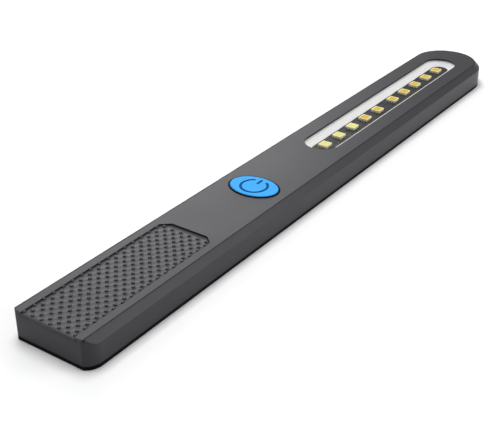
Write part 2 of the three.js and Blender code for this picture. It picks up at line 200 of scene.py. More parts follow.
def moulded(name, c, rough, spec=0.5, grain=0.3, depth=0.006, var=0.05, rvar=0.05, **sockets):
    """Spark-textured moulding: fine grain in the surface, a faint speckle and slow mottling."""
    m = Mat(name, rough, 0.0, spec, **sockets)
    fine = m.noise(grain, 3.0, 0.6)
    slow = m.noise(18.0, 2.0, 0.5)
    both = m.math("ADD", m.math("MULTIPLY", fine, 0.6), m.math("MULTIPLY", slow, 0.4))
    m.colour(m.mix(m.remap(both, 0.0, 1.0, 0.3, 0.7), scaled(c, 1 - var), scaled(c, 1 + var)))
    m.rough(m.remap(both, rough - rvar, rough + rvar, 0.3, 0.7))
    pits = m.cells(grain * 1.6)
    m.normal(m.bump(m.math("ADD", fine, m.math("MULTIPLY", pits, 0.5)), depth))
    return m.m


def brushed(name, c, rough, size=0.12, stretch=(0.04, 1.0, 1.0), depth=0.002, metal=1.0, var=0.08):
    m = Mat(name, rough, metal, 0.5)
    v = m.mapped(stretch)
    n = m.noise(size, 3.0, 0.6, v)
    slow = m.noise(9.0, 2.0)
    m.colour(m.mix(m.remap(slow, 0.0, 1.0), scaled(c, 1 - var), scaled(c, 1 + var)))
    m.rough(m.remap(n, rough - 0.07, rough + 0.09))
    m.normal(m.bump(n, depth))
    return m.m


HOUSING = (0.0320, 0.0309, 0.0360, 1.0)
MAT = {}
MAT["housing"] = moulded("housing_plastic", HOUSING, 0.40, spec=0.21, grain=0.28, depth=0.008, var=0.05)
MAT["grip"] = moulded("grip_rubber", scaled(HOUSING, 1.08), 0.40, spec=0.24, grain=0.22, depth=0.007, var=0.05)
MAT["back"] = moulded("back_plastic", (0.0030, 0.0030, 0.0034, 1.0), 0.6, spec=0.06, grain=0.35, depth=0.012, var=0.12)
MAT["black_rubber"] = moulded("black_rubber", (0.0030, 0.0030, 0.0034, 1.0), 0.62, spec=0.06, grain=0.2, depth=0.006, var=0.12)
MAT["button"] = moulded("button_blue", (0.030, 0.300, 0.700, 1.0), 0.48, spec=0.07, grain=0.25, depth=0.003, var=0.025, rvar=0.04)
MAT["symbol"] = moulded("button_mark_blue", (0.002, 0.075, 0.230, 1.0), 0.6, spec=0.03, grain=0.2, depth=0.004, var=0.04)
MAT["reflector"] = moulded("reflector_white", (0.715, 0.715, 0.71, 1.0), 0.45, spec=0.10, grain=0.5, depth=0.002, var=0.015)
MAT["led_body"] = moulded("led_package", (0.88, 0.81, 0.46, 1.0), 0.45, spec=0.10, grain=0.25, depth=0.003, var=0.03)
MAT["chip"] = moulded("chip_epoxy", (0.012, 0.012, 0.013, 1.0), 0.5, spec=0.4, grain=0.15, depth=0.006, var=0.15)
MAT["switch"] = moulded("switch_housing", (0.02, 0.02, 0.021, 1.0), 0.45, spec=0.4, grain=0.2, depth=0.004, var=0.1)
MAT["stem"] = moulded("switch_stem_nylon", (0.62, 0.57, 0.44, 1.0), 0.45, spec=0.4, grain=0.2, depth=0.003, var=0.04)
MAT["wire_red"] = moulded("wire_red_pvc", (0.42, 0.012, 0.010, 1.0), 0.42, spec=0.45, grain=0.3, depth=0.004, var=0.06)
MAT["wire_black"] = moulded("wire_black_pvc", (0.012, 0.012, 0.013, 1.0), 0.42, spec=0.45, grain=0.3, depth=0.004, var=0.1)
MAT["steel"] = brushed("port_steel", (0.62, 0.62, 0.63, 1.0), 0.3, 0.1, (1.0, 0.06, 1.0))
MAT["screw"] = brushed("screw_zinc", (0.42, 0.43, 0.44, 1.0), 0.34, 0.15, (1.0, 1.0, 0.1))
MAT["magnet"] = brushed("magnet_nickel", (0.66, 0.65, 0.62, 1.0), 0.2, 0.4, (1.0, 1.0, 1.0), depth=0.001)
MAT["aluminium"] = brushed("spreader_aluminium", (0.72, 0.73, 0.75, 1.0), 0.38, 0.14, (0.03, 1.0, 1.0), depth=0.004)
MAT["gold"] = brushed("contact_gold", (0.83, 0.60, 0.22, 1.0), 0.28, 0.1, (1.0, 0.1, 1.0))
MAT["pad"] = moulded("pad_tinned_dull", (0.16, 0.16, 0.15, 1.0), 0.6, spec=0.1, grain=0.2, depth=0.004, var=0.08)
MAT["solder"] = brushed("solder_tin", (0.66, 0.66, 0.68, 1.0), 0.32, 0.25, (1.0, 1.0, 1.0), depth=0.006)


def phosphor(name, c, edge):
    m = Mat(name, 0.5, 0.0, 0.06)
    g = m.noise(0.22, 3.0, 0.6)
    s = m.noise(1.6, 2.0, 0.5)
    m.colour(m.mix(m.remap(m.math("ADD", m.math("MULTIPLY", g, 0.4), m.math("MULTIPLY", s, 0.6)), 0.0, 1.0, 0.35, 0.65), edge, c))
    m.rough(m.remap(g, 0.36, 0.5))
    m.normal(m.bump(g, 0.01))
    return m.m


MAT["phosphor_warm"] = phosphor("phosphor_warm", (0.66, 0.43, 0.020, 1.0), (0.58, 0.35, 0.013, 1.0))
MAT["phosphor_pale"] = phosphor("phosphor_pale", (0.72, 0.67, 0.25, 1.0), (0.66, 0.59, 0.18, 1.0))


def board(name, mask, trace, pitch=2.2, spec=0.5):
    """Solder mask over etched copper: the tracks stand a little proud and show paler."""
    m = Mat(name, 0.36, 0.0, spec)
    a = m.waves(pitch, m.mapped(rot=(0, 0, 0.0)), 0.0, "SIN", "Y")
    blocks = m.cells(pitch * 3.4)
    track = m.math("MULTIPLY", m.remap(a, 0.0, 1.0, 0.70, 0.78, True), m.remap(blocks, 0.0, 1.0, 0.28, 0.36, True))
    grain = m.noise(0.3, 3.0)
    m.colour(m.mix(track, m.mix(m.remap(grain, 0.0, 1.0), scaled(mask, 0.9), scaled(mask, 1.1)), trace))
    m.rough(m.remap(grain, 0.30, 0.44))
    m.normal(m.bump(track, 0.03, 1.0, m.bump(grain, 0.003)))
    return m.m


MAT["pcb"] = board("pcb_green", (0.012, 0.085, 0.03, 1.0), (0.03, 0.16, 0.05, 1.0), 1.4)
MAT["led_board"] = board("pcb_black", (0.016, 0.016, 0.018, 1.0), (0.022, 0.022, 0.024, 1.0), 2.6, spec=0.12)


def lens_material():
    m = Mat("lens_clear", 0.16, 0.0, 0.2, Alpha=0.05)
    n = m.noise(6.0, 2.0)
    m.colour(m.mix(m.remap(n, 0.0, 1.0), (0.13, 0.14, 0.14, 1.0), (0.15, 0.16, 0.16, 1.0)))
    m.rough(m.remap(n, 0.14, 0.18))
    return m.m


MAT["lens"] = lens_material()


def pouch_material():
    m = Mat("battery_pouch", 0.34, 0.75, 0.5)
    wr = m.noise(3.2, 3.0, 0.6, m.mapped((0.45, 1.0, 1.0)))
    x = m.axis(0)
    tape = m.remap(x, 0.0, 1.0, -0.0855, -0.0853)
    base = m.mix(m.remap(wr, 0.0, 1.0), (0.40, 0.41, 0.43, 1.0), (0.50, 0.51, 0.53, 1.0))
    m.colour(m.mix(tape, base, (0.60, 0.30, 0.03, 1.0)))
    m.rough(m.remap(wr, 0.28, 0.42))
    m.normal(m.bump(wr, 0.12))
    return m.m


MAT["pouch"] = pouch_material()


def foam_material():
    m = Mat("foam_grey", 0.95, 0.0, 0.15)
    cell = m.cells(0.45)
    n = m.noise(1.2, 3.0)
    m.colour(m.mix(m.remap(cell, 0.0, 1.0, 0.05, 0.7), (0.022, 0.022, 0.024, 1.0), (0.075, 0.075, 0.08, 1.0)))
    m.rough(m.remap(n, 0.88, 0.98))
    m.normal(m.bump(cell, 0.12))
    return m.m


MAT["foam"] = foam_material()


# ---------------------------------------------------------------- mesh helpers
def verts_of(bm, pts):
    return [bm.verts.new((x * MM, y * MM, z * MM)) for x, y, z in pts]


def at(pts, z):
    return [(x, y, z) for x, y in pts]


def bridge(bm, a, b, mat=0):
    n = len(a)
    for i in range(n):
        j = (i + 1) % n
        quad = [a[i], a[j], b[j], b[i]]
        quad = [v for k, v in enumerate(quad) if v not in quad[:k]]
        if len(quad) > 2:
            f = bm.faces.new(quad)
            f.material_index = mat


def fan(bm, ring, centre, mat=0):
    c = bm.verts.new(tuple(q * MM for q in centre))
    for i in range(len(ring)):
        f = bm.faces.new((ring[i], ring[(i + 1) % len(ring)], c))
        f.material_index = mat


def inside(p, poly):
    hit = False
    n = len(poly)
    for i in range(n):
        a, b = poly[i], poly[(i + 1) % n]
        if (a[1] > p[1]) != (b[1] > p[1]) and p[0] < (b[0] - a[0]) * (p[1] - a[1]) / (b[1] - a[1]) + a[0]:
            hit = not hit
    return hit


def sheet(bm, outer, holes, mat=0, convex_outer=True, concave_holes=()):
    """Triangles between an outer ring and hole rings, all level. Holes are convex unless listed."""
    vs, edges, owner = [], [], []
    for k, ring in enumerate([outer] + list(holes)):
        base = len(vs)
        for i, v in enumerate(ring):
            vs.append(v)
            owner.append(k)
            edges.append((base + i, base + (i + 1) % len(ring)))
    pts = [Vector((v.co.x / MM, v.co.y / MM)) for v in vs]
    z = outer[0].co.z
    co, _, faces, back, _, _ = delaunay_2d_cdt(pts, edges, [], 1, 1e-6)
    made = {}

    def vert(i):
        if back[i]:
            return vs[back[i][0]]
        if i not in made:
            made[i] = bm.verts.new((co[i].x * MM, co[i].y * MM, z))
        return made[i]

    opoly = [(v.co.x / MM, v.co.y / MM) for v in outer]
    hpoly = {k: [(v.co.x / MM, v.co.y / MM) for v in holes[k]] for k in concave_holes}
    for f in faces:
        own = [owner[back[i][0]] if back[i] else -1 for i in f]
        if own[0] == own[1] == own[2] and own[0] > 0 and (own[0] - 1) not in hpoly:
            continue
        c = ((co[f[0]].x + co[f[1]].x + co[f[2]].x) / 3, (co[f[0]].y + co[f[1]].y + co[f[2]].y) / 3)
        if not convex_outer and not inside(c, opoly):
            continue
        if any(inside(c, p) for p in hpoly.values()):
            continue
        tri = [vert(i) for i in f]
        if len(set(tri)) == 3:
            g = bm.faces.new(tri)
            g.material_index = mat


def oval(a, b, cx=BTN_X, n=96):
    return [(cx + a * math.cos(2 * math.pi * i / n), b * math.sin(2 * math.pi * i / n)) for i in range(n)]


def stadium(hw, x0, x1, n=24, along=18):
    """Stadium ring with a fixed number of points, so rings of different size join point to point."""
    pts = []
    for i in range(n + 1):
        a = -math.pi / 2 + math.pi * i / n
        pts.append((x1 - hw + hw * math.cos(a), hw * math.sin(a)))
    for i in range(1, along):
        t = i / along
        pts.append(((x1 - hw) * (1 - t) + (x0 + hw) * t, hw))
    for i in range(n + 1):
        a = math.pi / 2 + math.pi * i / n
        pts.append((x0 + hw + hw * math.cos(a), hw * math.sin(a)))
    for i in range(1, along):
        t = i / along
        pts.append(((x0 + hw) * (1 - t) + (x1 - hw) * t, -hw))
    return pts


def rounded(hx, hy, r, cx=0.0, cy=0.0, n=5):
    pts = []
    for sx, sy, a0 in ((1, -1, -90), (1, 1, 0), (-1, 1, 90), (-1, -1, 180)):
        for i in range(n + 1):
            a = math.radians(a0 + 90.0 * i / n)
            pts.append((cx + sx * (hx - r) + r * math.cos(a), cy + sy * (hy - r) + r * math.sin(a)))
    return pts


def box_into(bm, x0, x1, y0, y1, z0, z1, mat=0):
    """A small box with broken edges, added to bm."""
    d = min(0.06, (x1 - x0) / 4, (y1 - y0) / 4, (z1 - z0) / 4)
    cx, cy, hx, hy = (x0 + x1) / 2, (y0 + y1) / 2, (x1 - x0) / 2, (y1 - y0) / 2
    rings = [verts_of(bm, at(rounded(hx - k, hy - k, max(0.02, d), cx, cy, 2), z)) for k, z in
             ((d, z0), (0, z0 + d), (0, z1 - d), (d, z1))]
    for a, b in zip(rings, rings[1:]):
        bridge(bm, a, b, mat)
    for r, z in ((rings[0], z0), (rings[-1], z1)):
        f = bm.faces.new(r)
        f.material_index = mat


def finish_mesh(bm, name, mats, node, body=None, angle=35.0, weighted=True, extra=()):
    bmesh.ops.recalc_face_normals(bm, faces=bm.faces)
    for f in bm.faces:
        f.smooth = True
    lim = math.radians(angle)
    for e in bm.edges:
        if len(e.link_faces) == 2:
            e.smooth = e.calc_face_angle(0.0) < lim
    mesh = bpy.data.meshes.new(name)
    bm.to_mesh(mesh)
    bm.free()
    ob = bpy.data.objects.new(name, mesh)
    scene.collection.objects.link(ob)
    for m in mats:
        mesh.materials.append(m)
    if weighted:
        w = ob.modifiers.new("even_shading", "WEIGHTED_NORMAL")
        w.keep_sharp = True
        w.weight = 60
    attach(ob, body or NODES[node]["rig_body"])
    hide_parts(node, *extra)
    return ob


def cleaned(node, limit=0.7, keep=None):
    """The CAD solid as clean polygons: points welded, flat triangles joined, except at the points that keep names."""
    bm = bmesh.new()
    bm.from_mesh(NODES[node].data)
    bmesh.ops.remove_doubles(bm, verts=bm.verts, dist=2e-6)
    bmesh.ops.dissolve_degenerate(bm, edges=bm.edges, dist=1e-6)
    vs = [v for v in bm.verts if not (keep and keep(v.co / MM))]
    es = [e for e in bm.edges if not (keep and keep(e.verts[0].co / MM) and keep(e.verts[1].co / MM))]
    bmesh.ops.dissolve_limit(bm, angle_limit=math.radians(limit), verts=vs, edges=es)
    return bm


def soften(bm, rules):
    """rules: (width in mm, segments, test(a, b, edge)) with a, b the ends in mm. Convex sharp edges only."""
    for width, segs, test in rules:
        pick = []
        for e in bm.edges:
            if len(e.link_faces) != 2 or not e.is_convex or e.calc_face_angle(0.0) < math.radians(18):
                continue
            a, b = e.verts[0].co / MM, e.verts[1].co / MM
            if test(a, b, e):
                pick.append(e)
        if pick:
            bmesh.ops.bevel(bm, geom=pick, offset=width * MM, offset_type="OFFSET", segments=segs, profile=0.5,
                            affect="EDGES", clamp_overlap=False, loop_slide=True, harden_normals=False)


def refined(node, mat, rules=(), angle=35.0, limit=0.7, name=None, keep=None):
    bm = cleaned(node, limit, keep)
    soften(bm, rules)
    return finish_mesh(bm, name or node + "_fine", [mat], node, angle=angle)


def everywhere(a, b, e):
    return True


# --------------------------------------------------------------------- housing
def on_top(z):
    return lambda a, b, e: abs(a.z - z) < 0.02 and abs(b.z - z) < 0.02


def shell_skin(a, b, e):
    """Edges of the outer skin: foot of the chamfer and near corners."""
    if a.z > 11.55 and b.z > 11.55:
        return False
    return outside_skin(a) and outside_skin(b) and (abs(a.z - 8.8) < 0.03 or a.x < -143.5) and (abs(b.z - 8.8) < 0.03 or b.x < -143.5)


def shell_foot(a, b, e):
    return max(a.z, b.z) < 1.4 and outside_skin(a) and outside_skin(b)


def outside_skin(p):
    y = abs(p.y)
    if p.x < -149.97:
        return True
    if p.x > 132.75:
        r = math.hypot(p.x - 132.75, y)
        return r > 17.2
    if p.x < -144.5 and y > 10.85:
        return math.hypot(p.x + 144.5, y - 10.85) > 6.35
    return y > 17.22


refined("body_shell", MAT["housing"], [(0.22, 3, shell_skin), (0.07, 2, shell_foot)], keep=lambda p: p.z > 11.5)


def offset_ring(pts, d):
    """A closed ring moved d mm to its left (inwards when it runs anticlockwise), corners mitred."""
    out = []
    n = len(pts)
    for i in range(n):
        p, q, r = pts[i - 1], pts[i], pts[(i + 1) % n]
        ux, uy = q[0] - p[0], q[1] - p[1]
        vx, vy = r[0] - q[0], r[1] - q[1]
        lu, lv = math.hypot(ux, uy), math.hypot(vx, vy)
        nx, ny = -uy / lu - vy / lv, ux / lu + vx / lv
        ln = math.hypot(nx, ny)
        nx, ny = nx / ln, ny / ln
        c = max(0.35, (-uy / lu) * nx + (ux / lu) * ny)
        out.append((q[0] + nx * d / c, q[1] + ny * d / c))
    return out


def corner_x(y):
    """X of the rounded near corner at a given |y|."""
    return -144.5 - math.sqrt(max(0.0, 6.4 ** 2 - (abs(y) - 10.85) ** 2)) if abs(y) > 14.12 else -150.0


def cover_outline(hw=14.66, cx=132.0, notch=True):
    """Anticlockwise outline of the flush panel, with the grip recess open at the near end."""
    pts = []
    ys = [-14.12 - (hw - 14.12) * k / 4 for k in range(4, -1, -1)] if hw > 14.12 else [-hw]
    pts.append((cx, -hw))
    n = 72
    for i in range(1, n):
        a = -math.pi / 2 + math.pi * i / n
        pts.append((cx + hw * math.cos(a), hw * math.sin(a)))
    pts.append((cx, hw))
    for k in range(1, 24):
        t = k / 24.0
        pts.append((cx * (1 - t) + corner_x(hw) * t, hw))
    pts += [(corner_x(y), -y) for y in ys]
    if notch:
        e = 0.35
        g = [(-150.0, 11.6), (-81.8 - e, 11.6), (-81.8 + e * 0.6, 11.6 - e * 0.72), (-78.7 - e * 0.6, 8.1 + e * 0.72), (-78.7, 8.1 - e * 0.9),
             (-78.7, -8.1 + e * 0.9), (-78.7 - e * 0.6, -8.1 - e * 0.72), (-81.8 + e * 0.6, -11.6 + e * 0.72), (-81.8 - e, -11.6), (-150.0, -11.6)]
        pts += g
    pts += [(corner_x(y), y) for y in reversed(ys)]
    for k in range(1, 24):
        t = 1 - k / 24.0
        pts.append((cx * (1 - t) + corner_x(hw) * t, -hw))
    return pts


def front_cover():
    bm = bmesh.new()
    R = 0.09
    steps = [(R * (1 - math.cos(math.pi / 2 * k / 4)), TOP - R + R * math.sin(math.pi / 2 * k / 4)) for k in range(5)]
    out = cover_outline()
    rings = [verts_of(bm, at(out, 10.68))] + [verts_of(bm, at(offset_ring(out, d), z)) for d, z in steps]
    for a, b in zip(rings, rings[1:]):
        bridge(bm, a, b)
    tops, lows = [], []
    for hole, grow in ((oval(HOLE_A, HOLE_B), None), (stadium(WIN_HW, WIN_X0, WIN_X1), None)):
        hr = [verts_of(bm, at(hole, 10.68))] + [verts_of(bm, at(offset_ring(hole, -d), z)) for d, z in steps]
        for a, b in zip(hr, hr[1:]):
            bridge(bm, a, b)
        tops.append(hr[-1])
        lows.append(hr[0])
    sheet(bm, rings[-1], tops, 0, convex_outer=False)
    sheet(bm, rings[0], lows, 0, convex_outer=False)
    # tray that carries the grip insert, its walls up to the panel, and the lip at the open end
    inner = [(-146.4, 11.6), (-81.8, 11.6), (-78.7, 8.1), (-78.7, -8.1), (-81.8, -11.6), (-146.4, -11.6)]
    wall = inner + [(-146.4, -12.8), (-77.1, -12.8), (-77.1, 12.8), (-146.4, 12.8)]
    lo_w, hi_w = verts_of(bm, at(wall, 10.30)), verts_of(bm, at(wall, 10.70))
    bridge(bm, lo_w, hi_w)
    sheet(bm, lo_w, [], 0, convex_outer=False)
    sheet(bm, hi_w, [], 0, convex_outer=False)
    for z0, z1, x0, x1, hy in ((9.6, 10.43, -146.4, -77.1, 12.8), (9.98, 10.43, -150.0, -146.3, 12.1)):
        ring = [(x0, -hy), (x1, -hy), (x1, hy), (x0, hy)]
        lo_b, hi_b = verts_of(bm, at(ring, z0)), verts_of(bm, at(ring, z1))
        bridge(bm, lo_b, hi_b)
        bm.faces.new(lo_b)
        bm.faces.new(hi_b)
    for x in (-52, -14, 22, 88):
        for y0 in (-12.8, 11.9):
            box_into(bm, x - 3, x + 3, y0, y0 + 0.9, 8.9, 10.72)
    return finish_mesh(bm, "front_cover_panel", [MAT["housing"]], "front_cover", angle=30.0)


front_cover()


def back_rim(a, b, e):
    return a.z < 0.02 and b.z < 0.02


refined("back_cover", MAT["back"], [(0.12, 3, lambda a, b, e: back_rim(a, b, e) and outside_skin(a) and outside_skin(b)),
                                           (0.12, 2, lambda a, b, e: back_rim(a, b, e) and not (outside_skin(a) and outside_skin(b)))])


# --------------------------------------------------------------------- grip pad
def grip_ring(hw, x0, x1, z, inset=0.0):
    k = inset
    return at([(x0 + k, -hw + k), (x1 - GRIP_CX - 0.4 * k, -hw + k), (x1 - k, -hw + GRIP_CY + 0.4 * k),
               (x1 - k, hw - GRIP_CY - 0.4 * k), (x1 - GRIP_CX - 0.4 * k, hw - k), (x0 + k, hw - k)], z)


def stud_centres():
    out = []
    for j in range(-6, 7):
        # the last row on the -Y side sits whole on the pad
        y = max(1.905 * j - 0.10, 0.79 - GRIP_HW)
        x0 = -148.66 if j % 2 == 0 else -146.69
        for n in range(17):
            x = x0 + 4.345 * n
            if x > GRIP_X1 - 0.45:
                continue
            # the two chamfered corners
            dx, dy = GRIP_X1 - x, GRIP_HW - abs(y)
            if dx / GRIP_CX + dy / GRIP_CY < 1.0 + 0.75 * math.hypot(1 / GRIP_CX, 1 / GRIP_CY):
                continue
            out.append((x, y))
    return out


def grip_pad():
    bm = bmesh.new()
    low = verts_of(bm, grip_ring(GRIP_HW, GRIP_X0, GRIP_X1, PAD_Z0))
    up = verts_of(bm, grip_ring(GRIP_HW, GRIP_X0, GRIP_X1, PAD_Z1 - 0.10))
    e1 = verts_of(bm, grip_ring(GRIP_HW, GRIP_X0, GRIP_X1, PAD_Z1 - 0.03, 0.03))
    rim = verts_of(bm, grip_ring(GRIP_HW, GRIP_X0, GRIP_X1, PAD_Z1, 0.10))
    for a, b in ((low, up), (up, e1), (e1, rim)):
        bridge(bm, a, b)
    bm.faces.new(low)
    # each stud: a small fillet at the foot, a drafted side and a domed crown
    prof = [(0.75, 0.0), (0.68, 0.03), (0.64, 0.09), (0.61, 0.26), (0.58, 0.40), (0.50, 0.49), (0.36, 0.535), (0.17, 0.55)]
    feet = []
    lim = GRIP_HW - 0.12
    for cx, cy in stud_centres():
        rings = []
        for r, h in prof:
            ring = []
            for i in range(16):
                a = 2 * math.pi * (i + 0.5) / 16
                x, y = cx + r * math.cos(a), cy + r * math.sin(a)
                y = max(-lim, min(lim, y))
                x = min(GRIP_X1 - 0.12, max(GRIP_X0 + 0.12, x))
                ring.append((x, y, PAD_Z1 + h))
            rings.append(ring)
        clipped = abs(cy) > lim - 1.0
        if clipped:
            # near the wall the clipped rings are copied unchanged
            rings = [[(x, y, z) for x, y, z in ring] for ring in rings]
        vr = [verts_of(bm, ring) for ring in rings]
        for a, b in zip(vr, vr[1:]):
            bridge(bm, a, b)
        fan(bm, vr[-1], (cx, max(-lim, min(lim, cy)), PAD_Z1 + 0.55))
        feet.append(vr[0])
    sheet(bm, rim, feet)
    bmesh.ops.remove_doubles(bm, verts=bm.verts, dist=1e-7)
    bmesh.ops.dissolve_degenerate(bm, edges=bm.edges, dist=1e-7)
    return finish_mesh(bm, "grip_pad_studded", [MAT["grip"]], "grip_pad", angle=50.0, weighted=False)


grip_pad()


# ------------------------------------------------------------------ power button
def arc_loop(r, half, gap_deg, n=56):
    """Outline of the open ring of the power mark, with round ends."""
    g = math.radians(gap_deg)
    pts = []
    for i in range(n + 1):
        a = g + (2 * math.pi - 2 * g) * i / n
        pts.append((BTN_X + (r + half) * math.cos(a), (r + half) * math.sin(a)))
    for k in range(1, 6):
        t = math.pi * k / 6
        a = -g
        c = (BTN_X + r * math.cos(a), r * math.sin(a))
        rad, tan = (math.cos(a), math.sin(a)), (-math.sin(a), math.cos(a))
        pts.append((c[0] + half * (math.cos(t) * rad[0] + math.sin(t) * tan[0]),
                    c[1] + half * (math.cos(t) * rad[1] + math.sin(t) * tan[1])))
    for i in range(n, -1, -1):
        a = g + (2 * math.pi - 2 * g) * i / n
        pts.append((BTN_X + (r - half) * math.cos(a), (r - half) * math.sin(a)))
    for k in range(1, 6):
        t = math.pi * k / 6
        a = g
        c = (BTN_X + r * math.cos(a), r * math.sin(a))
        rad, tan = (math.cos(a), math.sin(a)), (-math.sin(a), math.cos(a))
        pts.append((c[0] + half * (-math.cos(t) * rad[0] - math.sin(t) * tan[0]),
                    c[1] + half * (-math.cos(t) * rad[1] - math.sin(t) * tan[1])))
    return pts


def bar_loop(x0, x1, half):
    pts = []
    for cx, a0 in ((x1 - half, -90), (x0 + half, 90)):
        for k in range(9):
            a = math.radians(a0 + 180 * k / 8)
            pts.append((BTN_X + cx + half * math.cos(a), half * math.sin(a)))
    return pts


def power_button():
    bm = bmesh.new()
    R = 0.36
    prof = []
    for i in range(7):
        a = math.pi / 2 * (1 - i / 6)
        prof.append((-R + R * math.cos(a), BTN_TOP - R + R * math.sin(a)))
    prof += [(0.0, 10.55), (0.08, 10.42), (0.2, 10.35), (1.78, 10.35), (1.9, 10.28), (1.9, 9.82), (1.83, 9.75),
             (-1.5, 9.75), (-1.6, 9.85), (-1.6, 11.2)]
    rings = [verts_of(bm, at(oval(BTN_A + d, BTN_B + d), z)) for d, z in prof]
    for a, b in zip(rings, rings[1:]):
        bridge(bm, a, b)
    under = bm.faces.new(rings[-1])
    marks = [arc_loop(5.3, 0.54, 33.0), bar_loop(1.9, 5.8, 0.54)]
    lips = []
    depth = 0.24
    for loop in marks:
        top = verts_of(bm, at(loop, BTN_TOP))
        mid = verts_of(bm, at(loop, BTN_TOP - 0.05))
        bot = verts_of(bm, at(loop, BTN_TOP - depth))
        bridge(bm, top, mid, 0)
        bridge(bm, mid, bot, 1)
        sheet(bm, bot, [], 1, convex_outer=False)
        lips.append(top)
    sheet(bm, rings[0], lips, 0, True, concave_holes=(0, 1))
    box_into(bm, BTN_X - 1.8, BTN_X + 1.8, -1.8, 1.8, 9.9, 11.3)
    return finish_mesh(bm, "power_button_cap", [MAT["button"], MAT["symbol"]], "power_button", angle=40.0)


power_button()


def button_seal():
    bm = bmesh.new()
    # up the inner wall, over a rounded crest, down the outside and under the cover
    ia, ib, oa, ob = BTN_A + 0.14, BTN_B + 0.14, HOLE_A - 0.08, HOLE_B - 0.08
    crest = [(ia, ib, 10.42), (ia, ib, 11.90), (ia + 0.03, ib + 0.03, 11.96), (ia + 0.10, ib + 0.10, 11.995),
             (oa - 0.10, ob - 0.10, 11.99), (oa, ob, 11.95), (oa + 0.14, ob + 0.14, 11.84), (oa + 0.25, ob + 0.25, 11.72),
             (oa + 0.28, ob + 0.28, 11.66), (oa + 0.27, ob + 0.27, 11.615), (oa, ob, 11.61), (oa, ob, 10.66),
             (oa + 0.06, ob + 0.06, 10.61), (HOLE_A + 0.7, HOLE_B + 0.7, 10.61), (HOLE_A + 0.74, HOLE_B + 0.74, 10.56),
             (HOLE_A + 0.74, HOLE_B + 0.74, 10.42)]
    rings = [verts_of(bm, at(oval(a, b), z)) for a, b, z in crest]
    for a, b in zip(rings, rings[1:] + rings[:1]):
        bridge(bm, a, b)
    return finish_mesh(bm, "button_seal_collar", [MAT["black_rubber"]], "button_seal", angle=50.0)


button_seal()


# --------------------------------------------------------------------- lamp head
def reflector():
    bm = bmesh.new()

    def st(hw, x0, x1, z):
        return verts_of(bm, at(stadium(hw, x0, x1), z))

    top_hw, top_x0, top_x1 = WIN_HW - 0.43, WIN_X0 + 0.43, WIN_X1 - 0.43

    def between(t, z):
        pts = stadium(FLOOR_HW + (top_hw - FLOOR_HW) * t, FLOOR_X0 + (top_x0 - FLOOR_X0) * t, FLOOR_X1 + (top_x1 - FLOOR_X1) * t)
        k = 1.0 + 0.14 * (1.0 - t)
        return verts_of(bm, at([(x, y * k if y < 0 else y) for x, y in pts], z))

    rings = [st(9.5, 3.4, 135.2, 8.76), st(9.5, 3.4, 135.2, 10.5), st(9.38, 3.52, 135.08, 10.62),
             st(WIN_HW, WIN_X0, WIN_X1, 10.62), st(WIN_HW - 0.06, WIN_X0 + 0.06, WIN_X1 - 0.06, 10.60), st(WIN_HW - 0.08, WIN_X0 + 0.08, WIN_X1 - 0.08, 10.54),
             st(WIN_HW - 0.08, WIN_X0 + 0.08, WIN_X1 - 0.08, 10.03), st(WIN_HW - 0.36, WIN_X0 + 0.36, WIN_X1 - 0.36, 10.03), between(0.985, 10.015)]
    for i in range(1, 9):
        t = 0.985 * (1 - i / 8.0)
        rings.append(between(max(t, 0.03), 8.86 + (10.015 - 8.86) * (t / 0.985)))
    rings.append(between(0.0, 8.82))
    rings.append(between(0.0, 8.76))
    for a, b in zip(rings, rings[1:] + rings[:1]):
        bridge(bm, a, b)
    return finish_mesh(bm, "reflector_tray", [MAT["reflector"]], "reflector", angle=30.0)


reflector()


def lens():
    bm = bmesh.new()
    prof = [(-0.23, 10.06), (-0.18, 10.11), (-0.18, 10.51), (-0.23, 10.56)]
    rings = [verts_of(bm, at(stadium(WIN_HW + d, WIN_X0 - d, WIN_X1 + d), z)) for d, z in prof]
    for a, b in zip(rings, rings[1:]):
        bridge(bm, a, b)
    bm.faces.new(rings[0])
    bm.faces.new(rings[-1])
    return finish_mesh(bm, "led_lens_pane", [MAT["lens"]], "led_lens", angle=30.0)


lens()


def led_board():
    bm = bmesh.new()
    prof = [(0.0, 7.70), (0.0, 8.64), (-0.05, 8.70)]
    rings = [verts_of(bm, at(stadium(9.6 + d, 4.4 - d, 135.8 + d), z)) for d, z in prof]
    for a, b in zip(rings, rings[1:]):
        bridge(bm, a, b)
    bm.faces.new(rings[0])
    bm.faces.new(rings[-1])
    # tracks between the lamps and the tinned pads they sit on
    for i, x in enumerate(LED_X):
        if i + 1 < len(LED_X):
            nx = LED_X[i + 1]
            for y0, y1 in ((0.55, 1.75), (-1.75, -0.55)):
                box_into(bm, x + LED_HX + 0.55, nx - LED_HX - 0.55, y0, y1, 8.66, 8.722)
    for x in LED_X:
        for sx in (-1, 1):
            for y in (-1.35, 0.0, 1.35):
                box_into(bm, x + sx * LED_HX - 0.26, x + sx * LED_HX + 0.26, y - 0.36, y + 0.36, 8.66, 8.725, 1)
    return finish_mesh(bm, "led_board_mask", [MAT["led_board"], MAT["pad"]], "led_board", angle=30.0)


led_board()


